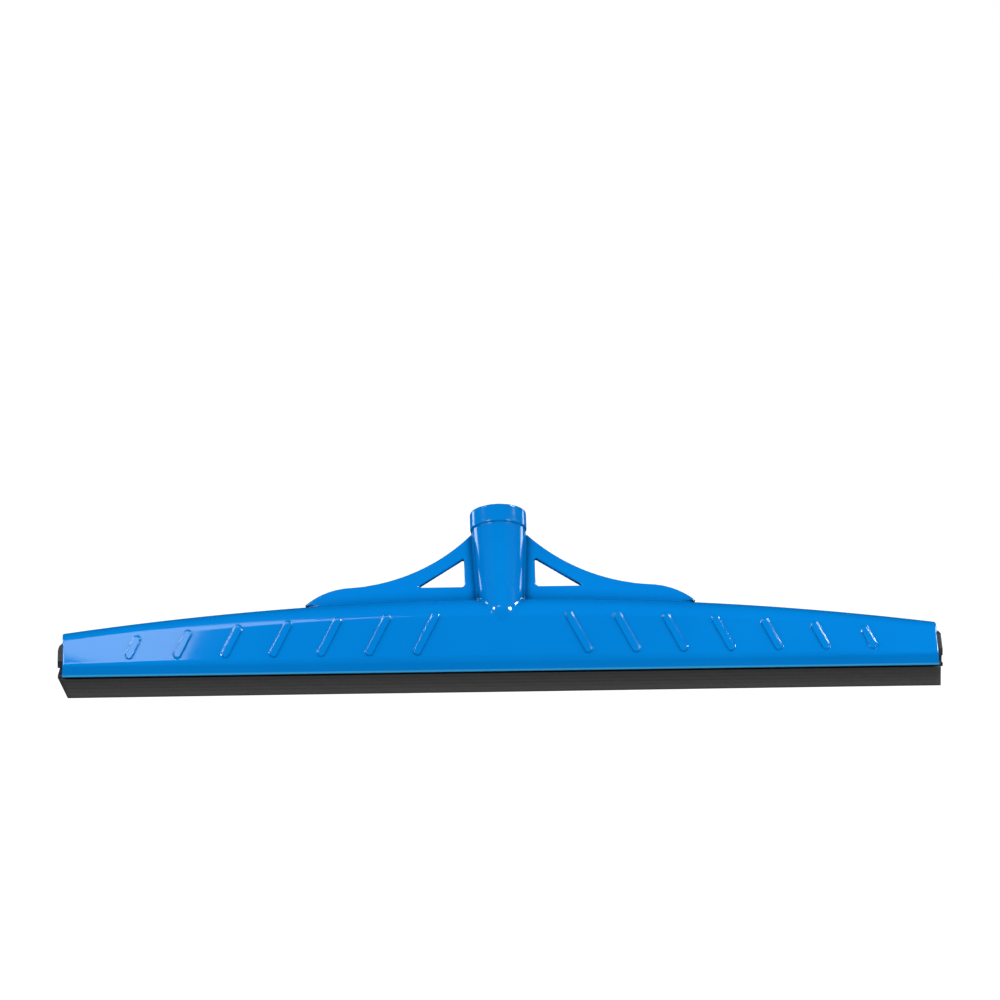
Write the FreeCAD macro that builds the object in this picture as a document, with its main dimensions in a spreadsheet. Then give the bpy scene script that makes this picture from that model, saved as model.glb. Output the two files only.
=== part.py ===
import FreeCAD
import Part
import Sketcher
import math
import os

# Floor squeegee head, millimetres. X runs along the bar, -Y is the front, +Z is up.
# Heights are measured from the floor that the blades stand on. Inside each sketch the
# bar's middle plane is depth 0; the placements at the end move it back by blade_offset,
# so that the row's origin is the middle of the front blade's floor face.

SIZES = {
    # bar
    "half_length": 225,
    "overrun": 5,
    "lip_height": 11,
    "crease_height": 18,
    "lip_half": 14.2,
    "crease_half": 15,
    "ridge_mid": 46.2,
    "ridge_end": 31.2,
    "round_mid": 10.3,
    "round_end": 8,
    "wall": 2.3,
    # raised ribs on the two faces
    "rib_rise": 0.6,
    "rib_half_width": 1.9,
    "rib_start": 43.8,
    "rib_pitch": 24.5,
    "rib_foot": 22.2,
    "rib_top_gap": 6.2,
    "rib_slant": 29,
    # stiffening webs and retaining beads in the hollow
    "web_pitch": 50,
    "web_thickness": 1.8,
    "web_bottom": 26.8,
    "bead_bottom": 12.3,
    "bead_top": 15.1,
    "bead_gap_half": 7.6,
    # handle socket, along its own leaning axis
    "lean": 30,
    "axis_height": 35.9,
    "nose_centre": 4,
    "nose_radius": 12,
    "taper_start": 14,
    "tube_radius": 13.8,
    "collar_radius": 14.65,
    "collar_start": 48.8,
    "socket_top": 58.5,
    "rim_chamfer": 0.8,
    "bore_radius": 10.6,
    "bore_depth": 36,
    # wings beside the socket, in the plane of its axis
    "wing_thickness": 3.5,
    "wing_top": 47.1,
    "wing_waist_out": 78,
    "wing_waist_up": 17.8,
    "wing_tip_out": 101,
    "wing_tip_up": 8.3,
    "wing_tip_radius": 38,
    "wing_root_out": 90,
    "wing_root_up": 7.3,
    "wing_root_mid": 8.3,
    "window_inner": 18.3,
    "window_outer": 42.6,
    "window_bottom": 17.5,
    "window_top": 33.2,
    # blade insert
    "rail_half": 227.3,
    "rail_notch": 1.4,
    "rail_chamfer": 2,
    "head_bottom": 15.4,
    "head_shoulder": 19.2,
    "head_top": 26,
    "head_half": 10.4,
    "head_top_half": 4.2,
    "neck_half": 7.2,
    "flange_top": 11.9,
    "flange_bottom": 10,
    "flange_half": 11.4,
    "blade_inner": 3.7,
    "blade_outer": 12.3,
    "blade_left_top": 226.9,
    "blade_left_foot": 222.3,
    "blade_right": 226.1,
    # the bar's middle plane behind the middle of the front blade
    "blade_offset": 8,
}
RIBS_PER_SIDE = 7
WEBS_PER_SIDE = 3
SAME_POINT = 1e-6
# A section plane's own across, up and normal directions are the row's Y, Z and X.
ACROSS_THE_BAR = FreeCAD.Rotation(0.5, 0.5, 0.5, 0.5)
# A face plane's own directions are the row's X, Z and -Y.
ALONG_THE_BAR = FreeCAD.Rotation(FreeCAD.Vector(1, 0, 0), 90)

doc = FreeCAD.newDocument("squeegee_head")
dims = doc.addObject("Spreadsheet::Sheet", "dims")
for row, (alias, size) in enumerate(SIZES.items(), start=1):
    dims.set(f"A{row}", alias)
    dims.set(f"B{row}", str(size))
    dims.setAlias(f"B{row}", alias)
doc.recompute()


def bind(item, prop, expression):
    item.setExpression(prop, expression)


def pin(sketch, label, point, across, up):
    """Holds a sketch point, given as (geometry, position), at two expressions."""
    for kind, side, expression in (("DistanceX", "across", across), ("DistanceY", "up", up)):
        start = sketch.evalExpression(expression)
        index = sketch.addConstraint(Sketcher.Constraint(kind, -1, 1, *point, start))
        sketch.renameConstraint(index, f"{label}_{side}")
        bind(sketch, f"Constraints.{label}_{side}", expression)


def place(sketch, across, up):
    """The sketch point where two expressions put it now."""
    return FreeCAD.Vector(sketch.evalExpression(across), sketch.evalExpression(up), 0)


def polygon(sketch, label, corners):
    """A closed outline of straight lines through pinned corners."""
    points = [place(sketch, *corner) for corner in corners]
    first = sketch.GeometryCount
    for start, end in zip(points, points[1:] + points[:1]):
        sketch.addGeometry(Part.LineSegment(start, end))
    for k, corner in enumerate(corners):
        before = first + (k - 1) % len(corners)
        sketch.addConstraint(Sketcher.Constraint("Coincident", before, 2, first + k, 1))
        pin(sketch, f"{label}{k}", (first + k, 1), *corner)


def body_sketch(body, name, plane):
    """A sketch attached to one of the body's own origin planes."""
    sketch = body.newObject("Sketcher::SketchObject", name)
    role = next(item for item in body.Origin.OriginFeatures if item.Role == plane)
    sketch.AttachmentSupport = [(role, "")]
    sketch.MapMode = "FlatFace"
    return sketch


# ---- bar: an arched roof section, lofted along X ----

def bar_section(name, share_of_half, foot, grow):
    """The bar's cross-section at a share of its half length, grown outwards.

    Two lip strips stand nearly upright, two faces lean in from the crease, and one arc
    rounds the ridge. The ridge and its rounding both fall off with the share squared.
    """
    fall = f"({share_of_half}) ^ 2"
    radius = f"dims.round_mid - (dims.round_mid - dims.round_end) * {fall}"
    ridge = f"dims.ridge_mid - (dims.ridge_mid - dims.ridge_end) * {fall}"
    lip = f"dims.lip_half + {grow}"
    crease = f"dims.crease_half + {grow}"
    centre = f"{ridge} - ({radius})"

    sketch = doc.addObject("Sketcher::SketchObject", name)
    sketch.Placement = FreeCAD.Placement(FreeCAD.Vector(), ACROSS_THE_BAR)
    bind(sketch, "Placement.Base.x", f"dims.half_length * ({share_of_half})")

    lip_left = place(sketch, f"-({lip})", foot)
    lip_right = place(sketch, lip, foot)
    crease_left = place(sketch, f"-({crease})", "dims.crease_height")
    crease_right = place(sketch, crease, "dims.crease_height")
    middle = place(sketch, "0", centre)
    round_radius = sketch.evalExpression(f"{radius} + {grow}")
    reach = middle - crease_left
    slope = math.atan2(reach.y, reach.x) + math.asin(round_radius / reach.Length)
    arc = Part.ArcOfCircle(
        Part.Circle(middle, FreeCAD.Vector(0, 0, 1), round_radius),
        math.pi / 2 - slope,
        math.pi / 2 + slope,
    )
    strip_left = sketch.addGeometry(Part.LineSegment(lip_left, crease_left))
    face_left = sketch.addGeometry(Part.LineSegment(crease_left, arc.EndPoint))
    top = sketch.addGeometry(arc)
    face_right = sketch.addGeometry(Part.LineSegment(arc.StartPoint, crease_right))
    strip_right = sketch.addGeometry(Part.LineSegment(crease_right, lip_right))
    base = sketch.addGeometry(Part.LineSegment(lip_right, lip_left))
    for kind, one, other in (
        ("Coincident", (strip_left, 2), (face_left, 1)),
        ("Tangent", (face_left, 2), (top, 2)),
        ("Tangent", (top, 1), (face_right, 1)),
        ("Coincident", (face_right, 2), (strip_right, 1)),
        ("Coincident", (strip_right, 2), (base, 1)),
        ("Coincident", (base, 2), (strip_left, 1)),
    ):
        sketch.addConstraint(Sketcher.Constraint(kind, *one, *other))
    pin(sketch, "lip_left", (strip_left, 1), f"-({lip})", foot)
    pin(sketch, "crease_left", (face_left, 1), f"-({crease})", "dims.crease_height")
    pin(sketch, "crease_right", (strip_right, 1), crease, "dims.crease_height")
    pin(sketch, "lip_right", (base, 1), lip, foot)
    pin(sketch, "middle", (top, 3), "0", centre)
    index = sketch.addConstraint(Sketcher.Constraint("Radius", top, round_radius))
    sketch.renameConstraint(index, "rounding")
    bind(sketch, "Constraints.rounding", f"{radius} + {grow}")
    return sketch


def bar_loft(name, end_share, foot, grow):
    """A solid through five sections: both ends, both quarters and the middle."""
    shares = [f"-({end_share})", "-0.5", "0", "0.5", end_share]
    loft = doc.addObject("Part::Loft", name)
    loft.Sections = [bar_section(f"{name}_{k}", s, foot, grow) for k, s in enumerate(shares)]
    loft.Solid = True
    loft.Ruled = False
    return loft


outer = bar_loft("bar_outer", "1", "dims.lip_height", "0")
rib_skin = bar_loft("rib_skin", "1", "dims.lip_height", "dims.rib_rise")
past_the_end = "1 + dims.overrun / dims.half_length"
hollow = bar_loft("bar_hollow", past_the_end, "dims.lip_height - dims.overrun", "-dims.wall")


# ---- raised ribs: parallel pills, leaning towards the middle ----

def add_pill(sketch, label, foot_out, side):
    """One pill between two pinned centres, from the rib's foot up to under the ridge."""
    ridge = (
        "(dims.ridge_mid - (dims.ridge_mid - dims.ridge_end)"
        f" * (({foot_out}) / dims.half_length) ^ 2)"
    )
    head_up = f"{ridge} - dims.rib_top_gap"
    head_out = f"{foot_out} - ({head_up} - dims.rib_foot) * tan(dims.rib_slant)"
    ends = [
        (f"{side} * ({foot_out})", "dims.rib_foot"),
        (f"{side} * ({head_out})", head_up),
    ]
    foot, head = (place(sketch, *end) for end in ends)
    radius = sketch.evalExpression("dims.rib_half_width")
    along = math.atan2(head.y - foot.y, head.x - foot.x)
    normal = FreeCAD.Vector(0, 0, 1)
    foot_arc = Part.ArcOfCircle(
        Part.Circle(foot, normal, radius), along + math.pi / 2, along + 3 * math.pi / 2
    )
    head_arc = Part.ArcOfCircle(
        Part.Circle(head, normal, radius), along - math.pi / 2, along + math.pi / 2
    )
    foot_end = sketch.addGeometry(foot_arc)
    head_end = sketch.addGeometry(head_arc)
    right = sketch.addGeometry(Part.LineSegment(foot_arc.EndPoint, head_arc.StartPoint))
    left = sketch.addGeometry(Part.LineSegment(head_arc.EndPoint, foot_arc.StartPoint))
    for one, other in (
        ((foot_end, 2), (right, 1)),
        ((right, 2), (head_end, 1)),
        ((head_end, 2), (left, 1)),
        ((left, 2), (foot_end, 1)),
    ):
        sketch.addConstraint(Sketcher.Constraint("Tangent", *one, *other))
    pin(sketch, f"{label}_foot", (foot_end, 3), *ends[0])
    pin(sketch, f"{label}_head", (head_end, 3), *ends[1])
    index = sketch.addConstraint(Sketcher.Constraint("Radius", foot_end, radius))
    sketch.renameConstraint(index, f"{label}_radius")
    bind(sketch, f"Constraints.{label}_radius", "dims.rib_half_width")


pills = doc.addObject("Sketcher::SketchObject", "rib_outlines")
pills.Placement = FreeCAD.Placement(FreeCAD.Vector(), ALONG_THE_BAR)
for k in range(RIBS_PER_SIDE):
    for side, word in ((1, "right"), (-1, "left")):
        add_pill(pills, f"{word}{k}", f"dims.rib_start + {k} * dims.rib_pitch", side)

rib_prisms = doc.addObject("Part::Extrusion", "rib_prisms")
rib_prisms.Base = pills
rib_prisms.DirMode = "Normal"
rib_prisms.Solid = True
rib_prisms.Symmetric = True
bind(rib_prisms, "LengthFwd", "4 * dims.crease_half")

ribs = doc.addObject("Part::Common", "ribs")
ribs.Base = rib_skin
ribs.Tool = rib_prisms

ribbed_bar = doc.addObject("Part::Fuse", "ribbed_bar")
ribbed_bar.Base = outer
ribbed_bar.Tool = ribs

bar_shell = doc.addObject("Part::Cut", "bar_shell")
bar_shell.Base = ribbed_bar
bar_shell.Tool = hollow


# ---- inside the hollow: transverse webs over the insert, beads under its head ----

def block(name, low, size):
    """A box bound to expressions for its low corner and its size."""
    box = doc.addObject("Part::Box", name)
    for axis, expression in zip("xyz", low):
        bind(box, f"Placement.Base.{axis}", expression)
    for prop, expression in zip(("Length", "Width", "Height"), size):
        bind(box, prop, expression)
    return box


web_blocks = [
    block(
        f"web_{k + WEBS_PER_SIDE}",
        (f"{k} * dims.web_pitch - dims.web_thickness / 2", "-dims.crease_half", "dims.web_bottom"),
        ("dims.web_thickness", "2 * dims.crease_half", "dims.ridge_mid"),
    )
    for k in range(-WEBS_PER_SIDE, WEBS_PER_SIDE + 1)
]
web_set = doc.addObject("Part::MultiFuse", "web_set")
web_set.Shapes = web_blocks
webs = doc.addObject("Part::Common", "webs")
webs.Base = outer
webs.Tool = web_set

bead_size = (
    "2 * dims.half_length",
    "dims.lip_half - dims.wall / 2 - dims.bead_gap_half",
    "dims.bead_top - dims.bead_bottom",
)
front_bead = block(
    "front_bead", ("-dims.half_length", "-dims.lip_half + dims.wall / 2", "dims.bead_bottom"), bead_size
)
rear_bead = block("rear_bead", ("-dims.half_length", "dims.bead_gap_half", "dims.bead_bottom"), bead_size)


# ---- handle socket: a tapered tube with a round nose and a collar ----

def lean_back(item):
    """Puts an item made upright about Z on the leaning socket axis."""
    tilt = FreeCAD.Rotation(FreeCAD.Vector(-1, 0, 0), SIZES["lean"])
    item.Placement = FreeCAD.Placement(FreeCAD.Vector(), tilt)
    bind(item, "Placement.Rotation.Angle", "dims.lean")
    bind(item, "Placement.Base.z", "dims.axis_height")


socket = doc.addObject("PartDesign::Body", "socket")
profile = body_sketch(socket, "socket_profile", "XZ_Plane")
nose_bottom = ("0", "dims.nose_centre - dims.nose_radius")
corners = [
    ("dims.nose_radius", "dims.nose_centre"),
    ("dims.nose_radius", "dims.taper_start"),
    ("dims.tube_radius", "dims.collar_start"),
    ("dims.collar_radius", "dims.collar_start"),
    ("dims.collar_radius", "dims.socket_top - dims.rim_chamfer"),
    ("dims.collar_radius - dims.rim_chamfer", "dims.socket_top"),
    ("0", "dims.socket_top"),
    nose_bottom,
]
points = [place(profile, *corner) for corner in corners]
for k, (start, end) in enumerate(zip(points, points[1:])):
    profile.addGeometry(Part.LineSegment(start, end))
    if k:
        profile.addConstraint(Sketcher.Constraint("Coincident", k - 1, 2, k, 1))
nose_middle = place(profile, "0", "dims.nose_centre")
nose = profile.addGeometry(
    Part.ArcOfCircle(
        Part.Circle(nose_middle, FreeCAD.Vector(0, 0, 1), profile.evalExpression("dims.nose_radius")),
        -math.pi / 2,
        0,
    )
)
axis_line = len(corners) - 2
profile.addConstraint(Sketcher.Constraint("Coincident", axis_line, 2, nose, 1))
profile.addConstraint(Sketcher.Constraint("Tangent", nose, 2, 0, 1))
for k, corner in enumerate(corners[:-1]):
    pin(profile, f"corner{k}", (k, 1), *corner)
pin(profile, "nose_bottom", (axis_line, 2), *nose_bottom)
turned = socket.newObject("PartDesign::Revolution", "turned_socket")
turned.Profile = profile
turned.ReferenceAxis = (profile, ["V_Axis"])
turned.Angle = 360
socket.Tip = turned
lean_back(socket)


# ---- wings: thin S-edged webs, each with a triangular window ----

wings = doc.addObject("PartDesign::Body", "wings")
outline = body_sketch(wings, "wing_outline", "XZ_Plane")
tube_side = ("dims.tube_radius", "dims.wing_top")
waist = ("dims.wing_waist_out", "dims.wing_waist_up")
tip = ("dims.wing_tip_out", "dims.wing_tip_up")
straight = [
    tip,
    ("dims.wing_root_out", "dims.wing_root_up"),
    ("0", "dims.wing_root_mid"),
    ("0", "dims.wing_top"),
    tube_side,
]
points = [place(outline, *corner) for corner in straight]
for k, (start, end) in enumerate(zip(points, points[1:])):
    outline.addGeometry(Part.LineSegment(start, end))
    if k:
        outline.addConstraint(Sketcher.Constraint("Coincident", k - 1, 2, k, 1))


def arc_by_radius(start, end, radius, hump):
    """An arc through both points; hump is +1 if it bulges to the left of the way along."""
    chord = end - start
    left = FreeCAD.Vector(-chord.y, chord.x, 0).normalize()
    centre = (start + end) * 0.5 - left * hump * math.sqrt(radius**2 - chord.Length**2 / 4)
    angles = [math.atan2(point.y - centre.y, point.x - centre.x) for point in (start, end)]
    # an arc of a circle always runs anticlockwise
    if hump > 0:
        angles.reverse()
    return Part.ArcOfCircle(Part.Circle(centre, FreeCAD.Vector(0, 0, 1), radius), *angles)


start, waist_point, tip_point = (place(outline, *point) for point in (tube_side, waist, tip))
tip_radius = outline.evalExpression("dims.wing_tip_radius")
tip_chord = tip_point - waist_point
waist_angle = math.atan2(tip_chord.y, tip_chord.x) + math.asin(tip_chord.Length / 2 / tip_radius)
inner_chord = waist_point - start
half_turn = waist_angle - math.atan2(inner_chord.y, inner_chord.x)
inner_radius = inner_chord.Length / 2 / math.sin(half_turn)
inner_edge = outline.addGeometry(arc_by_radius(start, waist_point, inner_radius, -1))
tip_edge = outline.addGeometry(arc_by_radius(waist_point, tip_point, tip_radius, 1))


def arc_end(index, point):
    """Which end of a sketch arc lies at the point: 1 for its start, 2 for its end."""
    return 1 if outline.Geometry[index].StartPoint.distanceToPoint(point) < SAME_POINT else 2


last_line = len(straight) - 2
waist_end = (inner_edge, arc_end(inner_edge, waist_point))
tip_start = (tip_edge, arc_end(tip_edge, waist_point))
for k, corner in enumerate(straight[:-1]):
    pin(outline, f"corner{k}", (k, 1), *corner)
pin(outline, "tube_side", (last_line, 2), *tube_side)
pin(outline, "waist", waist_end, *waist)
index = outline.addConstraint(Sketcher.Constraint("Radius", tip_edge, tip_radius))
outline.renameConstraint(index, "tip_rounding")
bind(outline, "Constraints.tip_rounding", "dims.wing_tip_radius")
for kind, one, other in (
    ("Coincident", (last_line, 2), (inner_edge, arc_end(inner_edge, start))),
    ("Coincident", (tip_edge, arc_end(tip_edge, tip_point)), (0, 1)),
    ("Tangent", waist_end, tip_start),
):
    outline.addConstraint(Sketcher.Constraint(kind, *one, *other))
polygon(
    outline,
    "window",
    [
        ("dims.window_inner", "dims.window_bottom"),
        ("dims.window_outer", "dims.window_bottom"),
        ("dims.window_inner", "dims.window_top"),
    ],
)
right_wing = wings.newObject("PartDesign::Pad", "right_wing")
right_wing.Profile = outline
right_wing.SideType = "Symmetric"
bind(right_wing, "Length", "dims.wing_thickness")
both_wings = wings.newObject("PartDesign::Mirrored", "both_wings")
both_wings.Originals = [right_wing]
middle_plane = next(item for item in wings.Origin.OriginFeatures if item.Role == "YZ_Plane")
both_wings.MirrorPlane = (middle_plane, [""])
wings.Tip = both_wings
lean_back(wings)

bore = doc.addObject("Part::Cylinder", "socket_bore")
bind(bore, "Radius", "dims.bore_radius")
bind(bore, "Height", "dims.bore_depth + dims.overrun")
lean_back(bore)
bind(bore, "Placement.Base.y", "(dims.socket_top - dims.bore_depth) * sin(dims.lean)")
bind(bore, "Placement.Base.z", "dims.axis_height + (dims.socket_top - dims.bore_depth) * cos(dims.lean)")

solid_head = doc.addObject("Part::MultiFuse", "solid_head")
solid_head.Shapes = [bar_shell, webs, front_bead, rear_bead, socket, wings]
head = doc.addObject("Part::Cut", "head")
head.Base = solid_head
head.Tool = bore
head.Label = "head"


# ---- blade insert: a keyed rail and two foam lips ----

rail = doc.addObject("PartDesign::Body", "blade_rail")
key = body_sketch(rail, "rail_section", "YZ_Plane")
half_section = [
    ("dims.head_top_half", "dims.head_top"),
    ("dims.head_half", "dims.head_shoulder"),
    ("dims.head_half", "dims.head_bottom"),
    ("dims.neck_half", "dims.head_bottom"),
    ("dims.neck_half", "dims.flange_top"),
    ("dims.flange_half", "dims.flange_top"),
    ("dims.flange_half", "dims.flange_bottom"),
]
other_half = [(f"-{across}", up) for across, up in reversed(half_section)]
polygon(key, "key", half_section + other_half)
rail_pad = rail.newObject("PartDesign::Pad", "rail_pad")
rail_pad.Profile = key
rail_pad.SideType = "Symmetric"
bind(rail_pad, "Length", "2 * dims.rail_half")
doc.recompute()
uncut_rail = rail_pad.Shape.Volume

cuts = body_sketch(rail, "rail_end_cuts", "XZ_Plane")
polygon(
    cuts,
    "notch",
    [
        ("-dims.rail_half - dims.overrun", "dims.flange_top"),
        ("-dims.rail_half + dims.rail_notch", "dims.flange_top"),
        ("-dims.rail_half + dims.rail_notch", "dims.head_bottom"),
        ("-dims.rail_half - dims.overrun", "dims.head_bottom"),
    ],
)
polygon(
    cuts,
    "corner",
    [
        ("-dims.rail_half - dims.overrun", "dims.head_top - dims.rail_chamfer - dims.overrun"),
        ("-dims.rail_half + dims.rail_chamfer + dims.overrun", "dims.head_top + dims.overrun"),
        ("-dims.rail_half - dims.overrun", "dims.head_top + dims.overrun"),
    ],
)
end_cuts = rail.newObject("PartDesign::Pocket", "end_cuts")
end_cuts.Profile = cuts
end_cuts.SideType = "Symmetric"
bind(end_cuts, "Length", "4 * dims.flange_half")
rail.Tip = end_cuts
rail.Label = "blade_rail"


def foam_blade(name, side):
    """One foam lip under the rail; side is -1 for the front and +1 for the rear."""
    body = doc.addObject("PartDesign::Body", name)
    side_view = body_sketch(body, f"{name}_side_view", "XZ_Plane")
    polygon(
        side_view,
        "edge",
        [
            ("-dims.blade_left_foot", "0"),
            ("dims.blade_right", "0"),
            ("dims.blade_right", "dims.flange_bottom"),
            ("-dims.blade_left_top", "dims.flange_bottom"),
        ],
    )
    pad = body.newObject("PartDesign::Pad", f"{name}_pad")
    pad.Profile = side_view
    pad.SideType = "Symmetric"
    bind(pad, "Length", "dims.blade_outer - dims.blade_inner")
    body.Tip = pad
    body.Label = name
    middle = "(dims.blade_inner + dims.blade_outer) / 2"
    bind(body, "Placement.Base.y", f"dims.blade_offset + {side} * {middle}")
    return body


blades = [foam_blade("front_blade", -1), foam_blade("rear_blade", 1)]
for item in (head, rail):
    bind(item, "Placement.Base.y", "dims.blade_offset")
doc.recompute()

# ---- checks, then one STEP file for each sub-part ----

for item in doc.Objects:
    bad = [word for word in ("Invalid", "Error") if word in item.State]
    if bad:
        raise RuntimeError(f"{item.Name} is {bad}")
if end_cuts.Shape.Volume >= uncut_rail:
    raise RuntimeError("the rail's end cuts removed nothing")

os.makedirs("parts", exist_ok=True)
for item in [head, rail] + blades:
    shape = item.Shape
    if shape.isNull() or not shape.isValid() or len(shape.Solids) != 1:
        raise RuntimeError(f"{item.Label} isn't one valid solid")
    shape.exportStep(f"parts/{item.Label}.step")
    print(item.Label, "volume", round(shape.Volume), "mm3", shape.BoundBox)
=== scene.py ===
import math

import bmesh
import bpy
import numpy as np
from mathutils import Matrix, Vector


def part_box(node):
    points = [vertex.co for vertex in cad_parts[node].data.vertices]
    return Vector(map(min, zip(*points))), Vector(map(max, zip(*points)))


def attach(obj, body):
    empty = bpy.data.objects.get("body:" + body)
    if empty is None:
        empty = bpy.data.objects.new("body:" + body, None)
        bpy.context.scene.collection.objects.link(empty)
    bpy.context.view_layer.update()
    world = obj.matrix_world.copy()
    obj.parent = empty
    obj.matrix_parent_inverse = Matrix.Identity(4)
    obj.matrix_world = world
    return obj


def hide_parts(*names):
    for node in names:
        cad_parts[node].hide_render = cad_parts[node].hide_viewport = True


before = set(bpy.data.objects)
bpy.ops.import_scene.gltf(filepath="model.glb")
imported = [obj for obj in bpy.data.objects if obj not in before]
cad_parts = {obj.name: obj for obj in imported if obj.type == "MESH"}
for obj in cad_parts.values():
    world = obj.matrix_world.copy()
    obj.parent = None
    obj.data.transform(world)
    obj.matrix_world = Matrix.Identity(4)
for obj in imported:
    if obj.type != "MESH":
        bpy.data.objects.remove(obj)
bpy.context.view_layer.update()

# A floor squeegee head: one glossy blue moulding, a rubber rail slid into it and two foam
# blades. Sizes are in millimetres, as on the part's own sheet, with depth 0 at the bar's
# middle plane; to_frame() turns them into metres in the row's frame.

MM = 0.001

# the arched bar: its half length, then its section from the lip up to the ridge
HALF_LENGTH = 225.0
LIP_HEIGHT, LIP_HALF = 11.0, 14.2
CREASE_HEIGHT, CREASE_HALF = 18.0, 15.0
RIDGE_MID, RIDGE_END = 46.2, 31.2
ROUND_MID, ROUND_END = 10.3, 8.0
WALL = 2.3
CREASE_ROUNDING, LIP_ROUNDING = 0.8, 0.9
END_ROUNDING, END_INNER_ROUNDING = 0.6, 0.5
# both end faces are dished a little, about this middle height
DISH_DEPTH, DISH_MIDDLE, DISH_HALF = 0.5, 21.0, 10.0
# the small bead rolled along the lip's lower edge, and how high the painted highlight there reaches
ROLL_RADIUS, ROLL_PROUD, ROLL_END_ROUNDING, ROLL_FILLET = 0.75, 0.2, 0.3, 0.15
LIP_HIGHLIGHT_HEIGHT = 1.7

RIB_RISE, RIB_HALF_WIDTH, RIB_ROUNDING = 0.6, 1.9, 0.45
RIB_START, RIB_PITCH, RIB_COUNT = 43.8, 24.5, 7
RIB_FOOT, RIB_TOP_GAP = 22.2, 6.2
RIB_SLANT = math.radians(29)

# inside the bar: upright webs, and the two beads that hold the rail
WEB_PITCH, WEB_HALF, WEB_BOTTOM, WEBS_PER_SIDE = 50.0, 0.9, 26.8, 3
WEB_ROUNDING, WEB_FILLET = 0.4, 0.8
BEAD_BOTTOM, BEAD_TOP, BEAD_GAP_HALF = 12.3, 15.1, 7.6
BEAD_ROUNDING, BEAD_FILLET, BEAD_END_GAP = 0.5, 0.4, 0.2

# the handle socket, along its leaning axis
LEAN = math.radians(30)
AXIS_HEIGHT = 35.9
NOSE_CENTRE, NOSE_RADIUS, TAPER_START = 4.0, 12.0, 14.0
TUBE_RADIUS, COLLAR_RADIUS = 13.8, 14.65
COLLAR_START, SOCKET_TOP = 48.8, 58.5
TUBE_OVERLAP = 2.0
COLLAR_ROUNDING, COLLAR_FILLET = 0.8, 0.3
BORE_RADIUS, BORE_DEPTH, BORE_CHAMFER, BORE_ROUNDING = 10.6, 36.0, 1.2, 0.4
THREAD_DEPTH, THREAD_PITCH = 0.6, 4.5
THREAD_LAND, THREAD_FLANK = 0.35, 3.0
THREAD_END_GAP, THREAD_FADE = 3.0, 2.0
# the grooved wall's distance is scaled down, because its flanks are steep
GROOVED_SCALE = 0.8

# the wings, as (out from the middle, height along the socket's axis)
WING_HALF = 1.75
WING_TOP = (13.8, 47.1)
WAIST = (78.0, 17.8)
TIP, TIP_RADIUS = (101.0, 8.3), 38.0
ROOT, ROOT_MID = (90.0, 7.3), 8.3
WINDOW = ((18.3, 17.5), (42.6, 17.5), (18.3, 33.2))
WING_ROUNDING, TIP_ROUNDING = 0.8, 0.5
WINDOW_ROUNDING, WINDOW_CORNER = 1.0, 2.0
WING_OVERRUN = 1.0
FIN_FILLET, HANDLE_FILLET = 1.0, 0.8
# neither socket nor wings reach further out than this
HANDLE_REACH = 108.0

# the grid that the moulding is meshed on, and its limits
GRID_LOW, GRID_HIGH = (-227.0, -17.0, 9.0), (227.0, 42.5, 93.5)
FINE_STEP, QUICK_STEP = 0.6, 1.0
GRID_SLAB = 24
MOST_TRIANGLES = 190_000
LAST_SHIFT = 0.15
LEAST_SLOPE, TINY, FAR = 0.1, 1e-9, 1e3

# the foam blades: the lines in their faces are shares of a line's height, and how far in
BLADE_DEPTH, BLADE_HEIGHT = 8.6, 10.0
BLADE_FOOT_RADIUS, BLADE_FOOT_POINTS = 0.5, 4
BLADE_LINES, LINES_START, LINE_DEPTH = 5, 1.0, 0.05
LINE_SHAPE = ((0.0, LINE_DEPTH), (0.15, 0.01), (0.5, 0.0), (0.85, 0.01))
BLADE_SLANT = 4.6
BLADE_STATIONS = 160
# how uneven the foam is, and how fast that changes along it, in radians per millimetre
DRIFT, DRIFT_WAVE = 0.05, 0.045
WOBBLE, WOBBLE_WAVE = 0.025, 0.31
LIFT, LIFT_WAVE = 0.05, 0.023

# the rail's edges, in metres
WELD_REACH, RAIL_BEVEL, RAIL_EDGE_ANGLE = 0.00001, 0.0003, math.radians(30)


# ---- distances: negative inside, all in millimetres ----

def both(a, b, rounding):
    """The overlap of two shapes, its edge rounded."""
    inner = np.minimum(-rounding, np.maximum(a, b))
    return inner + np.hypot(np.maximum(rounding + a, 0), np.maximum(rounding + b, 0))


def either(a, b, fillet):
    """The two shapes joined, with a fillet where they meet."""
    return -both(-a, -b, fillet)


def ridge_height(out):
    """The ridge's height at a distance along the bar from its middle."""
    return RIDGE_MID - (RIDGE_MID - RIDGE_END) * (out / HALF_LENGTH) ** 2


def bar_skin(x, depth, z):
    """The arched bar's outer surface: lip strips, leaning faces and a rounded ridge."""
    radius = ROUND_MID - (ROUND_MID - ROUND_END) * (x / HALF_LENGTH) ** 2
    centre = ridge_height(x) - radius
    away = np.abs(depth)
    rise = centre - CREASE_HEIGHT
    slope = np.arctan2(rise, CREASE_HALF) + np.arcsin(radius / np.hypot(CREASE_HALF, rise))
    over = z - centre
    along_face = over * np.sin(slope) - away * np.cos(slope)
    face = away * np.sin(slope) + over * np.cos(slope) - radius
    top = np.where(along_face > 0, np.hypot(away, over) - radius, face)
    flare = CREASE_HALF - LIP_HALF
    strip_height = CREASE_HEIGHT - LIP_HEIGHT
    strip = (away - CREASE_HALF) * strip_height - (z - CREASE_HEIGHT) * flare
    strip = strip / math.hypot(flare, strip_height)
    return both(top, strip, CREASE_ROUNDING)


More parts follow.
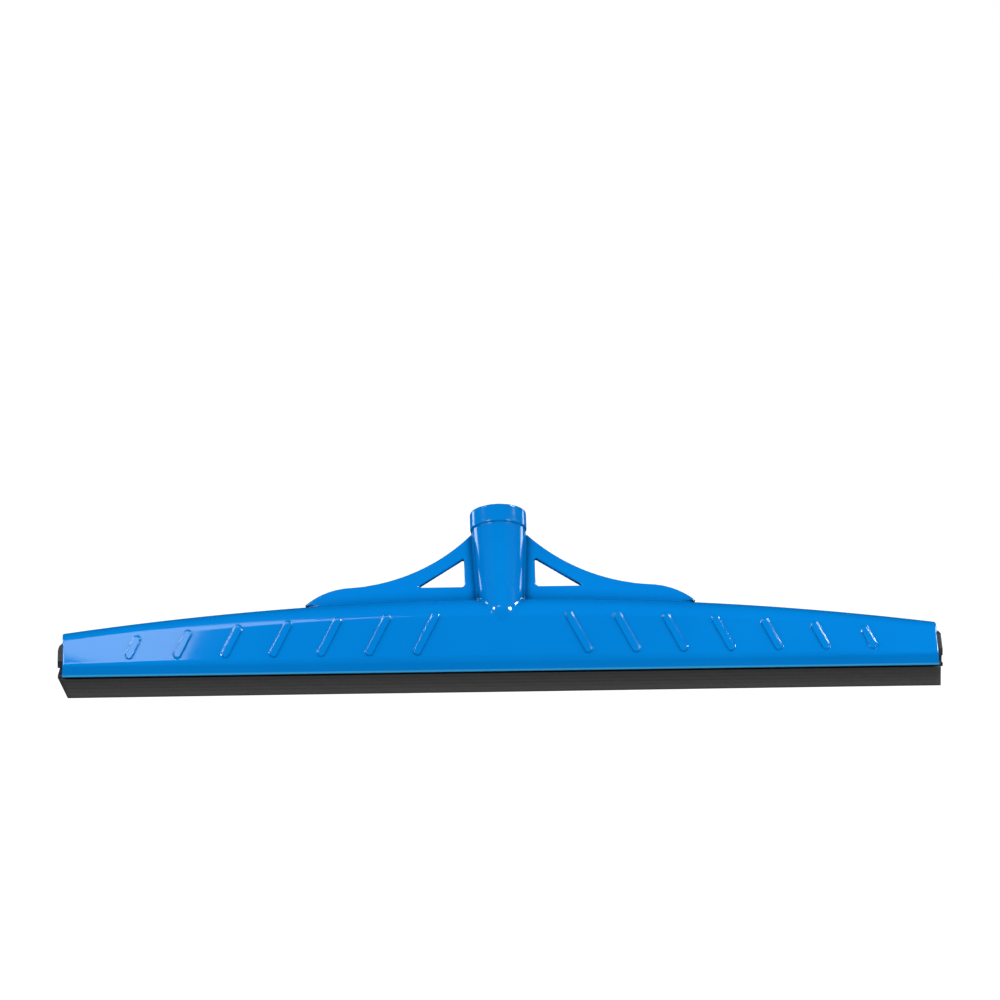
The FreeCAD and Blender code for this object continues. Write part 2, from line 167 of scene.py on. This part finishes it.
def rib_pills(x, z):
    """Distance in side view to the nearest of the slanting pill outlines."""
    across = np.abs(x)
    nearest = np.full_like(across, FAR)
    for k in range(RIB_COUNT):
        foot_out = RIB_START + k * RIB_PITCH
        rib_top = ridge_height(foot_out) - RIB_TOP_GAP
        length = (rib_top - RIB_FOOT) / math.cos(RIB_SLANT)
        out, up = across - foot_out, z - RIB_FOOT
        along = up * math.cos(RIB_SLANT) - out * math.sin(RIB_SLANT)
        off = up * math.sin(RIB_SLANT) + out * math.cos(RIB_SLANT)
        gap = np.hypot(off, along - np.clip(along, 0, length))
        nearest = np.minimum(nearest, gap)
    return nearest - RIB_HALF_WIDTH


def lip_roll(depth, z, past_end):
    """The small bead rolled along both lips' lower edges."""
    middle_out, middle_up = LIP_HALF - ROLL_RADIUS + ROLL_PROUD, LIP_HEIGHT + ROLL_RADIUS
    roll = np.hypot(np.abs(depth) - middle_out, z - middle_up) - ROLL_RADIUS
    return both(roll, past_end, ROLL_END_ROUNDING)


def inner_webs(x, z, skin):
    """The upright webs across the hollow, which end inside the bar's wall."""
    nearest = np.clip(np.round(x / WEB_PITCH), -WEBS_PER_SIDE, WEBS_PER_SIDE)
    web = both(np.abs(x - WEB_PITCH * nearest) - WEB_HALF, WEB_BOTTOM - z, WEB_ROUNDING)
    return np.maximum(web, skin + WALL / 2)


def rail_beads(depth, z, skin, past_end):
    """The two beads inside the lips that the rail slides on."""
    middle, half = (BEAD_BOTTOM + BEAD_TOP) / 2, (BEAD_TOP - BEAD_BOTTOM) / 2
    bead = both(np.abs(z - middle) - half, BEAD_GAP_HALF - np.abs(depth), BEAD_ROUNDING)
    return np.maximum(np.maximum(bead, skin + WALL / 2), past_end + BEAD_END_GAP)


def bar(x, depth, z):
    """The hollow bar with its ribs, webs and beads, cut to length."""
    skin = bar_skin(x, depth, z)
    dish = np.maximum(1 - ((z - DISH_MIDDLE) / DISH_HALF) ** 2, 0)
    past_end = np.abs(x) - HALF_LENGTH + DISH_DEPTH * dish
    ribs = both(rib_pills(x, z), skin - RIB_RISE, RIB_ROUNDING)
    outside = both(either(skin, ribs, RIB_ROUNDING), past_end, END_ROUNDING)
    shell = both(outside, -(skin + WALL), END_INNER_ROUNDING)
    shell = both(shell, LIP_HEIGHT - z, LIP_ROUNDING)
    shell = either(shell, lip_roll(depth, z, past_end), ROLL_FILLET)
    shell = either(shell, inner_webs(x, z, skin), WEB_FILLET)
    return either(shell, rail_beads(depth, z, skin, past_end), BEAD_FILLET)


def on_socket_axis(x, depth, z):
    """Height along the leaning socket axis, offset from the wing plane, and radius."""
    over = z - AXIS_HEIGHT
    height = depth * math.sin(LEAN) + over * math.cos(LEAN)
    off = depth * math.cos(LEAN) - over * math.sin(LEAN)
    return height, off, np.hypot(x, off)


def socket(height, radius):
    """Tapered tube with a round nose and a collar."""
    slope = (TUBE_RADIUS - NOSE_RADIUS) / (COLLAR_START - TAPER_START)
    nose = np.hypot(radius, height - NOSE_CENTRE) - NOSE_RADIUS
    wall = radius - NOSE_RADIUS - slope * np.maximum(height - TAPER_START, 0)
    tube = np.where(height < NOSE_CENTRE, nose, wall)
    tube = np.maximum(tube, height - COLLAR_START - TUBE_OVERLAP)
    middle, half = (COLLAR_START + SOCKET_TOP) / 2, (SOCKET_TOP - COLLAR_START) / 2
    collar = both(radius - COLLAR_RADIUS, np.abs(height - middle) - half, COLLAR_ROUNDING)
    return either(tube, collar, COLLAR_FILLET)


def bore(x, height, off, radius):
    """The threaded bore: a helical groove in a plain wall, with a chamfered mouth."""
    turn = np.arctan2(off, x) / (2 * math.pi)
    phase = height / THREAD_PITCH - turn
    wave = np.abs(phase - np.round(phase)) * 2
    depth_in = SOCKET_TOP - height
    fade = np.clip((depth_in - THREAD_END_GAP) / THREAD_FADE, 0, 1)
    fade = fade * np.clip((BORE_DEPTH - THREAD_END_GAP - depth_in) / THREAD_FADE, 0, 1)
    groove = THREAD_DEPTH * fade * np.clip((wave - THREAD_LAND) * THREAD_FLANK, 0, 1)
    mouth = np.maximum(BORE_CHAMFER - depth_in, 0)
    wall = (radius - BORE_RADIUS - groove - mouth) * GROOVED_SCALE
    return np.maximum(wall, SOCKET_TOP - BORE_DEPTH - height)


def arc_centres():
    """The wing's two edge arcs, which meet smoothly at the waist.

    Gives the hollow arc's centre and radius, the tip arc's centre, and the waist's normal.
    """
    waist, tip, top = (np.array(point) for point in (WAIST, TIP, WING_TOP))
    chord = tip - waist
    length = np.hypot(*chord)
    heading = math.atan2(chord[1], chord[0]) + math.asin(length / 2 / TIP_RADIUS)
    normal = np.array((-math.sin(heading), math.cos(heading)))
    inner = waist - top
    half_turn = heading - math.atan2(inner[1], inner[0])
    radius = np.hypot(*inner) / 2 / math.sin(half_turn)
    return waist + normal * radius, radius, waist - normal * TIP_RADIUS, normal


HOLLOW_ARC, HOLLOW_RADIUS, TIP_ARC, WAIST_NORMAL = arc_centres()


def right_of(across, up, start, end):
    """Distance to the right of the line from start to end, negative on its left."""
    run, rise = end[0] - start[0], end[1] - start[1]
    length = math.hypot(run, rise)
    return ((across - start[0]) * rise - (up - start[1]) * run) / length


def wings(x, height, off):
    """Two thin S-edged webs beside the tube, each with a triangular window."""
    across = np.abs(x)
    past_waist = (across - WAIST[0]) * WAIST_NORMAL[1] - (height - WAIST[1]) * WAIST_NORMAL[0]
    hollow_edge = HOLLOW_RADIUS - np.hypot(across - HOLLOW_ARC[0], height - HOLLOW_ARC[1])
    tip_edge = np.hypot(across - TIP_ARC[0], height - TIP_ARC[1]) - TIP_RADIUS
    edge = np.where(past_waist > 0, tip_edge, hollow_edge)
    foot = right_of(across, height, (0, ROOT_MID), ROOT)
    tip_foot = right_of(across, height, ROOT, TIP)
    outline = both(edge, np.maximum(foot, tip_foot), TIP_ROUNDING)
    ends = zip(WINDOW, WINDOW[1:] + WINDOW[:1])
    sill, slant, upright = [right_of(across, height, start, end) for start, end in ends]
    window = both(both(sill, upright, WINDOW_CORNER), slant, WINDOW_ROUNDING)
    outline = np.maximum(outline, -window)
    outline = np.maximum(outline, height - WING_TOP[1] - WING_OVERRUN)
    return both(outline, np.abs(off) - WING_HALF, WING_ROUNDING)


def head_distance(x, depth, z):
    """The whole blue moulding."""
    body = bar(x, depth, z)
    near = np.abs(x) < HANDLE_REACH
    x, depth, z = x[near], depth[near], z[near]
    height, off, radius = on_socket_axis(x, depth, z)
    hollow = bar_skin(x, depth, z) + WALL
    fins = np.maximum(wings(x, height, off), -hollow)
    handle = either(socket(height, radius), fins, FIN_FILLET)
    joined = either(body[near], handle, HANDLE_FILLET)
    body[near] = both(joined, -bore(x, height, off, radius), BORE_ROUNDING)
    return body


# ---- meshing ----

CORNERS = [(i, j, k) for i in (0, 1) for j in (0, 1) for k in (0, 1)]


def sample_grid(distance, low, high, step):
    """Distances on a regular grid, a thin slab at a time."""
    axes = [np.arange(a, b + step, step, dtype=np.float32) for a, b in zip(low, high)]
    values = np.empty([len(axis) for axis in axes], np.float32)
    for k in range(0, len(axes[0]), GRID_SLAB):
        points = np.meshgrid(axes[0][k:k + GRID_SLAB], axes[1], axes[2], indexing="ij")
        flat = [p.ravel() for p in points]
        values[k:k + GRID_SLAB] = distance(*flat).reshape(points[0].shape)
    return values


def cell_points(values, cells):
    """The mean of the places where the surface crosses each cell's edges, in grid steps."""
    total = np.zeros((len(cells), 3))
    crossings = np.zeros(len(cells))
    for a in CORNERS:
        for axis in range(3):
            if a[axis]:
                continue
            b = tuple(1 if n == axis else a[n] for n in range(3))
            at_a = values[tuple((cells + a).T)]
            at_b = values[tuple((cells + b).T)]
            crosses = (at_a < 0) != (at_b < 0)
            share = np.where(crosses, at_a / np.where(crosses, at_a - at_b, 1), 0)
            point = np.array(a, float) + share[:, None] * (np.array(b) - np.array(a))
            total += point * crosses[:, None]
            crossings += crosses
    return cells + total / crossings[:, None]


def cell_quads(inside, number):
    """A quad for each grid edge that the surface crosses, through the four cells round it."""
    quads = []
    for axis in range(3):
        u, v = (axis + 1) % 3, (axis + 2) % 3
        first = [slice(1, -1)] * 3
        first[axis] = slice(0, -1)
        second = list(first)
        second[axis] = slice(1, None)
        here, there = inside[tuple(first)], inside[tuple(second)]
        edges = np.argwhere(here != there)
        base = edges + 1
        base[:, axis] -= 1
        leaving = here[tuple(edges.T)]
        ring = []
        for du, dv in ((-1, -1), (0, -1), (0, 0), (-1, 0)):
            cell = base.copy()
            cell[:, u] += du
            cell[:, v] += dv
            ring.append(number[tuple(cell.T)])
        ring = np.stack(ring, 1)
        ring[~leaving] = ring[~leaving][:, ::-1]
        quads.append(ring)
    return np.concatenate(quads)


def surface_net(values, low, step):
    """Points and quads of the surface, with one point in each grid cell that it crosses."""
    inside = values < 0
    shape = [n - 1 for n in values.shape]
    count = np.zeros(shape, np.uint8)
    for i, j, k in CORNERS:
        count += inside[i:i + shape[0], j:j + shape[1], k:k + shape[2]]
    cells = np.argwhere((count > 0) & (count < len(CORNERS)))
    number = np.full(shape, -1, np.int32)
    number[tuple(cells.T)] = np.arange(len(cells))
    return cell_points(values, cells) * step + np.array(low), cell_quads(inside, number)


def gradient(distance, points, reach=0.02):
    """The distance's own slope at each point, by small steps either way."""
    slopes = []
    for axis in range(3):
        step = np.zeros(3)
        step[axis] = reach
        ahead = distance(*(points + step).T)
        behind = distance(*(points - step).T)
        slopes.append((ahead - behind) / (2 * reach))
    return np.stack(slopes, 1)


def settle(distance, points, most, rounds=2):
    """Moves points on to the surface, none further than a set distance in each round."""
    points = points.copy()
    for _ in range(rounds):
        slope = gradient(distance, points)
        size = np.maximum((slope ** 2).sum(1), LEAST_SLOPE)
        shift = -(distance(*points.T) / size)[:, None] * slope
        length = np.maximum(np.linalg.norm(shift, axis=1), TINY)
        points += shift * np.minimum(1, most / length)[:, None]
    return points


def to_frame(points):
    """Millimetres about the bar's middle plane to metres in the row's frame."""
    rail_low, rail_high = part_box("blade_rail")
    middle = (rail_low.y + rail_high.y) / 2
    return np.asarray(points) * MM + np.array((0, middle, 0))


def mesh_object(name, vertices, faces):
    """A new object in the scene, from lists of points and of faces."""
    mesh = bpy.data.meshes.new(name)
    mesh.from_pydata(vertices, [], faces)
    mesh.validate()
    piece = bpy.data.objects.new(name, mesh)
    bpy.context.scene.collection.objects.link(piece)
    return piece


def thin_out(piece, triangles):
    """Decimates a piece of so many triangles down to MOST_TRIANGLES, when it has more."""
    if triangles <= MOST_TRIANGLES:
        return
    piece.modifiers.new("thin", "DECIMATE").ratio = MOST_TRIANGLES / triangles
    bpy.context.view_layer.update()
    graph = bpy.context.evaluated_depsgraph_get()
    final = bpy.data.meshes.new_from_object(piece.evaluated_get(graph))
    piece.modifiers.clear()
    piece.data = final


def make_head():
    """The moulding's mesh, its points and normals taken from the distance itself."""
    step = FINE_STEP
    values = sample_grid(head_distance, GRID_LOW, GRID_HIGH, step)
    points, quads = surface_net(values, GRID_LOW, step)
    points = settle(head_distance, points, step / 2)
    piece = mesh_object("head_moulding", points.tolist(), quads.tolist())
    thin_out(piece, 2 * len(quads))
    mesh = piece.data
    points = np.empty(len(mesh.vertices) * 3, np.float32)
    mesh.vertices.foreach_get("co", points)
    points = settle(head_distance, points.reshape(-1, 3).astype(float), LAST_SHIFT, rounds=1)
    normals = gradient(head_distance, points)
    normals /= np.maximum(np.linalg.norm(normals, axis=1), TINY)[:, None]
    mesh.vertices.foreach_set("co", to_frame(points).astype(np.float32).ravel())
    mesh.polygons.foreach_set("use_smooth", [True] * len(mesh.polygons))
    mesh.normals_split_custom_set_from_vertices(normals.tolist())
    mesh.update()
    return piece


# ---- foam blades ----

def blade_profile():
    """A blade's upright section: rounded at its foot, with fine lines moulded in its faces."""
    half, corner = BLADE_DEPTH / 2, BLADE_FOOT_RADIUS
    foot = []
    for k in range(BLADE_FOOT_POINTS):
        angle = math.radians(90 * k / (BLADE_FOOT_POINTS - 1))
        foot.append((half - corner + corner * math.sin(angle), corner - corner * math.cos(angle)))
    side = []
    pitch = (BLADE_HEIGHT - LINES_START) / BLADE_LINES
    for k in range(BLADE_LINES):
        for up, inset in LINE_SHAPE:
            side.append((half - inset, LINES_START + (k + up) * pitch))
    right = foot + side + [(half - LINE_DEPTH, BLADE_HEIGHT)]
    return right + [(-across, up) for across, up in reversed(right)]


def make_blade(name, node):
    """One foam lip: its profile run along X, a little uneven, with a slanting left cut."""
    low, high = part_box(node)
    profile = blade_profile()
    middle = (low.y + high.y) / 2 / MM
    left_top, right = low.x / MM, high.x / MM
    phases = np.random.default_rng(len(name)).uniform(0, 2 * math.pi, 3)
    vertices = []
    for i in range(BLADE_STATIONS + 1):
        for across, up in profile:
            from_top = 1 - up / BLADE_HEIGHT
            start = left_top + BLADE_SLANT * from_top
            x = start + (right - start) * i / BLADE_STATIONS
            drift = DRIFT * math.sin(x * DRIFT_WAVE + phases[0])
            wobble = WOBBLE * math.sin(x * WOBBLE_WAVE + phases[1] + up)
            lift = LIFT * (1 + math.sin(x * LIFT_WAVE + phases[2])) * from_top
            vertices.append((x * MM, (middle + across + drift + wobble) * MM, (up + lift) * MM))
    ring = len(profile)
    last = BLADE_STATIONS * ring
    faces = []
    for i in range(BLADE_STATIONS):
        for j in range(ring):
            a, b = i * ring + j, i * ring + (j + 1) % ring
            faces.append((a, a + ring, b + ring, b))
    end_faces = [tuple(range(ring)), tuple(reversed(range(last, last + ring)))]
    piece = mesh_object(name, vertices, faces + end_faces)
    work = bmesh.new()
    work.from_mesh(piece.data)
    bmesh.ops.recalc_face_normals(work, faces=work.faces)
    work.to_mesh(piece.data)
    work.free()
    for face in piece.data.polygons:
        face.use_smooth = len(face.vertices) == 4
    return piece


# ---- materials ----

# how far round a point the painted crease shade looks for nearby surfaces, in metres
CREASE_SHADE_REACH = 0.007
# how much of the foam's streaks is added to its cells
STREAK_SHARE = 0.6


def new_material(name, colour, roughness):
    """A material of one colour and roughness, and its shader."""
    material = bpy.data.materials.new(name)
    material.use_nodes = True
    shader = material.node_tree.nodes["Principled BSDF"]
    shader.inputs["Base Color"].default_value = (*colour, 1)
    shader.inputs["Roughness"].default_value = roughness
    return material, shader


def add_node(material, kind, values=None, **settings):
    """A node with its own settings, and values for its input sockets."""
    node = material.node_tree.nodes.new(kind)
    for key, value in settings.items():
        setattr(node, key, value)
    for key, value in (values or {}).items():
        node.inputs[key].default_value = value
    return node


def link(material, output, target):
    """Joins an output socket to an input socket."""
    material.node_tree.links.new(output, target)


def grey(value):
    """A neutral colour."""
    return (value, value, value)


def place_noise(material, scale, detail, stretch=(1, 1, 1)):
    """Noise in the object's own space, stretched along its axes."""
    spot = add_node(material, "ShaderNodeTexCoord")
    turn = add_node(material, "ShaderNodeMapping", {"Scale": stretch})
    noise = add_node(material, "ShaderNodeTexNoise", {"Scale": scale, "Detail": detail})
    link(material, spot.outputs["Object"], turn.inputs["Vector"])
    link(material, turn.outputs["Vector"], noise.inputs["Vector"])
    return noise.outputs["Fac"]


def height_level(material, low, high):
    """0 at one height on the object and 1 at another, both in millimetres."""
    spot = add_node(material, "ShaderNodeTexCoord")
    parts = add_node(material, "ShaderNodeSeparateXYZ")
    level = add_node(material, "ShaderNodeMapRange", {"From Min": low * MM, "From Max": high * MM})
    link(material, spot.outputs["Object"], parts.inputs["Vector"])
    link(material, parts.outputs["Z"], level.inputs["Value"])
    return level.outputs["Result"]


def colour_ramp(material, source, *stops):
    """A colour for each value of the source, from stops of (position, colour)."""
    ramp = add_node(material, "ShaderNodeValToRGB")
    elements = ramp.color_ramp.elements
    while len(elements) < len(stops):
        elements.new(0.5)
    for element, (position, colour) in zip(elements, stops):
        element.position = position
        element.color = (*colour, 1)
    link(material, source, ramp.inputs["Fac"])
    return ramp.outputs["Color"]


def mix_colours(material, blend, first, second):
    """The second colour laid over the first at full strength, by one of the blend types."""
    mix = add_node(material, "ShaderNodeMix", {"Factor": 1.0}, data_type="RGBA", blend_type=blend)
    under, over = [pin for pin in mix.inputs if pin.type == "RGBA"]
    link(material, first, under)
    link(material, second, over)
    return next(pin for pin in mix.outputs if pin.type == "RGBA")


def add_bump(material, shader, source, strength, distance):
    """Fine relief that follows the source, with its distance in metres."""
    bump = add_node(material, "ShaderNodeBump", {"Strength": strength, "Distance": distance})
    link(material, source, bump.inputs["Height"])
    link(material, bump.outputs["Normal"], shader.inputs["Normal"])


def blue_plastic():
    """Glossy polypropylene: faint clouds and ripple, painted shade darkening its creases, and a
    painted highlight along the lip's lower edge.
    """
    material, shader = new_material("glossy_blue_polypropylene", (0.0008, 0.21, 0.68), roughness=0.1)
    clouds = place_noise(material, scale=14, detail=3)
    tone = colour_ramp(material, clouds, (0.3, (0.0006, 0.222, 0.7)), (0.7, (0.001, 0.24, 0.74)))
    # painted highlight: a paler band of colour along the lip's lower edge, standing in for light
    # caught by its rounded edge
    up_the_lip = height_level(material, LIP_HEIGHT, LIP_HEIGHT + LIP_HIGHLIGHT_HEIGHT)
    edge = colour_ramp(
        material, up_the_lip,
        (0.0, (0.02, 0.2, 0.4)),
        (0.25, (0.05, 0.42, 0.8)),
        (0.7, (0.03, 0.36, 0.75)),
        (1.0, grey(0.0)),
    )
    highlighted = mix_colours(material, "LIGHTEN", tone, edge)
    # painted shade: the base colour is darkened where surfaces close in, at creases and where the
    # wings meet the ridge
    creases = add_node(material, "ShaderNodeAmbientOcclusion", {"Distance": CREASE_SHADE_REACH},
                       samples=8, only_local=True)
    shade = colour_ramp(material, creases.outputs["AO"], (0.6, grey(0.3)), (0.96, grey(1.0)))
    shaded = mix_colours(material, "MULTIPLY", highlighted, shade)
    link(material, shaded, shader.inputs["Base Color"])
    smear = place_noise(material, scale=60, detail=4, stretch=(0.4, 1, 1))
    gloss = add_node(material, "ShaderNodeMapRange", {"To Min": 0.07, "To Max": 0.13})
    link(material, smear, gloss.inputs["Value"])
    link(material, gloss.outputs["Result"], shader.inputs["Roughness"])
    ripple = place_noise(material, scale=35, detail=1)
    add_bump(material, shader, ripple, strength=0.12, distance=0.0006)
    shader.inputs["IOR"].default_value = 1.49
    return material


def black_rubber():
    """Satin rubber with fine drawn lines along the rail."""
    material, shader = new_material("satin_black_rubber", (0.03, 0.034, 0.04), roughness=0.45)
    lines = place_noise(material, scale=500, detail=2, stretch=(0.02, 1, 1))
    tone = colour_ramp(material, lines, (0.35, (0.018, 0.022, 0.028)), (0.65, (0.036, 0.044, 0.054)))
    link(material, tone, shader.inputs["Base Color"])
    add_bump(material, shader, lines, strength=0.25, distance=0.0002)
    return material


def grey_foam():
    """Matt closed-cell foam: lengthwise streaks and fine cells, with painted shade by height that
    leaves it palest just above its foot and darker up under the lip.
    """
    material, shader = new_material("grey_closed_cell_foam", grey(0.05), roughness=0.75)
    # painted shade: the colour darkens up the blade towards the lip above it, and in a thin line at
    # its very foot
    fade = colour_ramp(
        material, height_level(material, 0, BLADE_HEIGHT),
        (0.0, (0.02, 0.02, 0.021)),
        (0.1, (0.042, 0.042, 0.043)),
        (0.5, (0.027, 0.027, 0.028)),
        (0.8, (0.022, 0.022, 0.023)),
        (1.0, (0.018, 0.018, 0.018)),
    )
    streaks = place_noise(material, scale=900, detail=3, stretch=(0.006, 1, 1))
    cells = place_noise(material, scale=1800, detail=2)
    lines = add_node(material, "ShaderNodeMath", {1: STREAK_SHARE}, operation="MULTIPLY_ADD")
    link(material, streaks, lines.inputs[0])
    link(material, cells, lines.inputs[2])
    grain = colour_ramp(material, lines.outputs["Value"], (0.55, grey(0.86)), (1.0, grey(1.16)))
    colour = mix_colours(material, "MULTIPLY", fade, grain)
    link(material, colour, shader.inputs["Base Color"])
    add_bump(material, shader, lines.outputs["Value"], strength=0.3, distance=0.00015)
    return material


def dress(piece, material):
    """Gives a piece this one material."""
    piece.data.materials.clear()
    piece.data.materials.append(material)


# ---- camera, floor and lights; angles in degrees, lengths in metres ----

CAMERA_AZIMUTH, CAMERA_ELEVATION = -3.0, 10.0
CAMERA_DISTANCE = 2.1355
CAMERA_LENS, CAMERA_SENSOR = 150, 36
# how far the camera looks to the side of and above the lip's middle, and its own roll
CAMERA_PAN, CAMERA_TILT, CAMERA_ROLL = -0.029, 2.358, -0.31

FLOOR_SIZE, FLOOR_HEIGHT = 30, -0.0002
FLOOR_GREY, FLOOR_GLOW = 0.12, 1.0
WORLD_FILL = 0.06

# name, azimuth, elevation, distance, (width, height), power in watts, and what it gives the
# object: light on its surfaces, a reflection in them, or both
LIGHTS = (
    ("left_key", -45, 25, 2.2, (0.5, 0.3), 25.5, "both"),
    ("right_key", 45, 25, 2.2, (0.5, 0.3), 25.5, "both"),
    ("left_fill", -75, 18, 2.2, (0.8, 0.6), 13, "light"),
    ("right_fill", 75, 18, 2.2, (0.8, 0.6), 13, "light"),
    ("left_panel", 0, 56, 2.0, (0.7, 1.46), 13, "reflection"),
    ("left_rim", -125, 4, 2.0, (0.8, 0.28), 3, "both"),
    ("right_rim", 122, 4, 2.0, (0.8, 0.28), 3, "both"),
    ("left_spark", -90, 43, 2.0, (0.5, 0.62), 16, "reflection"),
    ("right_spark", 90, 43, 2.0, (0.5, 0.62), 42, "reflection"),
    ("left_back", -142, 14, 2.2, (0.9, 0.6), 22, "light"),
    ("right_back", 142, 14, 2.2, (0.9, 0.6), 22, "light"),
)
# the long panel stands to the left of its place and is turned in its own plane
PANEL_ASIDE, PANEL_TURN = -0.63, 20

# the card's middle in millimetres, and the way that it faces
FLAG_PLACE = (-30, -75, 205)
FLAG_AZIMUTH, FLAG_ELEVATION = -12, 50
FLAG_WIDTH, FLAG_LENGTH = 0.13, 0.16


def direction(azimuth, elevation):
    """Unit vector from the object towards a place round it; azimuth 0 is the front."""
    across, up = math.radians(azimuth), math.radians(elevation)
    return Vector((math.sin(across) * math.cos(up), -math.cos(across) * math.cos(up), math.sin(up)))


def lip_middle():
    """The middle of the front lip's lower edge."""
    return Vector(to_frame((0, -LIP_HALF, LIP_HEIGHT)))


def add_camera():
    """Slightly above and a little to the left of the middle, with a long lens."""
    back = direction(CAMERA_AZIMUTH, CAMERA_ELEVATION)
    data = bpy.data.cameras.new("camera")
    data.lens = CAMERA_LENS
    data.sensor_width = CAMERA_SENSOR
    camera = bpy.data.objects.new("camera", data)
    bpy.context.scene.collection.objects.link(camera)
    camera.location = lip_middle() + back * CAMERA_DISTANCE
    turn = (-back).to_track_quat("-Z", "Y").to_matrix()
    for angle, axis in ((CAMERA_TILT, "X"), (-CAMERA_PAN, "Y"), (CAMERA_ROLL, "Z")):
        turn = turn @ Matrix.Rotation(math.radians(angle), 3, axis)
    camera.rotation_euler = turn.to_euler()
    bpy.context.scene.camera = camera


def add_floor():
    """A pale self-lit floor, left out of reflections so that the plastic keeps its colour."""
    bpy.ops.mesh.primitive_plane_add(size=FLOOR_SIZE, location=(0, 0, FLOOR_HEIGHT))
    floor = bpy.context.object
    floor.name = "floor"
    material, shader = new_material("pale_floor", grey(FLOOR_GREY), roughness=1.0)
    shader.inputs["Emission Color"].default_value = (1, 1, 1, 1)
    shader.inputs["Emission Strength"].default_value = FLOOR_GLOW
    shader.inputs["Specular IOR Level"].default_value = 0
    dress(floor, material)
    floor.visible_glossy = False
    floor.visible_diffuse = False


def add_world():
    """White behind the object, and a dim even fill for what the softboxes don't reach."""
    world = bpy.data.worlds.new("studio")
    world.use_nodes = True
    tree = world.node_tree
    fill = tree.nodes["Background"]
    fill.inputs["Color"].default_value = (1, 1, 1, 1)
    fill.inputs["Strength"].default_value = WORLD_FILL
    seen = tree.nodes.new("ShaderNodeBackground")
    seen.inputs["Color"].default_value = (1, 1, 1, 1)
    rays = tree.nodes.new("ShaderNodeLightPath")
    mix = tree.nodes.new("ShaderNodeMixShader")
    tree.links.new(rays.outputs["Is Camera Ray"], mix.inputs["Fac"])
    tree.links.new(fill.outputs["Background"], mix.inputs[1])
    tree.links.new(seen.outputs["Background"], mix.inputs[2])
    tree.links.new(mix.outputs["Shader"], tree.nodes["World Output"].inputs["Surface"])
    bpy.context.scene.world = world
    world.cycles_visibility.glossy = False


def add_light(name, azimuth, elevation, distance, size, power):
    """A rectangular softbox that faces the object."""
    data = bpy.data.lights.new(name, "AREA")
    data.shape = "RECTANGLE"
    data.size, data.size_y = size
    data.energy = power
    light = bpy.data.objects.new(name, data)
    bpy.context.scene.collection.objects.link(light)
    back = direction(azimuth, elevation)
    light.location = lip_middle() + back * distance
    light.rotation_euler = back.to_track_quat("Z", "Y").to_euler()
    return light


def add_lights():
    """Every softbox of the list, and the long panel moved to its own place."""
    for *place, gives in LIGHTS:
        light = add_light(*place)
        light.visible_glossy = gives != "light"
        light.visible_diffuse = gives != "reflection"
    panel = bpy.data.objects["left_panel"]
    panel.location.x += PANEL_ASIDE
    panel.rotation_euler.rotate_axis("Z", math.radians(PANEL_TURN))


def add_flag():
    """A small black card that keeps the long panel's reflection off the socket."""
    bpy.ops.mesh.primitive_plane_add(size=1)
    flag = bpy.context.object
    flag.name = "flag"
    flag.location = Vector(to_frame(FLAG_PLACE))
    flag.rotation_euler = direction(FLAG_AZIMUTH, FLAG_ELEVATION).to_track_quat("Z", "Y").to_euler()
    flag.scale = (FLAG_WIDTH, FLAG_LENGTH, 1)
    material, shader = new_material("black_card", grey(0.0), roughness=1.0)
    shader.inputs["Specular IOR Level"].default_value = 0
    dress(flag, material)
    flag.visible_camera = False
    flag.visible_diffuse = False


def soften_edges(piece):
    """Small bevels on a CAD node's sharp edges, once its loose facets are welded."""
    piece.modifiers.new("weld", "WELD").merge_threshold = WELD_REACH
    soften = piece.modifiers.new("soften", "BEVEL")
    soften.width = RAIL_BEVEL
    soften.segments = 2
    soften.limit_method = "ANGLE"
    soften.angle_limit = RAIL_EDGE_ANGLE


# ---- the scene ----

add_camera()
add_floor()
add_world()
add_lights()
add_flag()

head = make_head()
dress(head, blue_plastic())
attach(head, "head")
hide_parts("head")

foam = grey_foam()
for name, node in (("front_foam_lip", "front_blade"), ("rear_foam_lip", "rear_blade")):
    blade = make_blade(name, node)
    dress(blade, foam)
    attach(blade, "insert")
    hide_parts(node)

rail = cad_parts["blade_rail"]
dress(rail, black_rubber())
soften_edges(rail)

bpy.context.scene.view_settings.view_transform = "Standard"
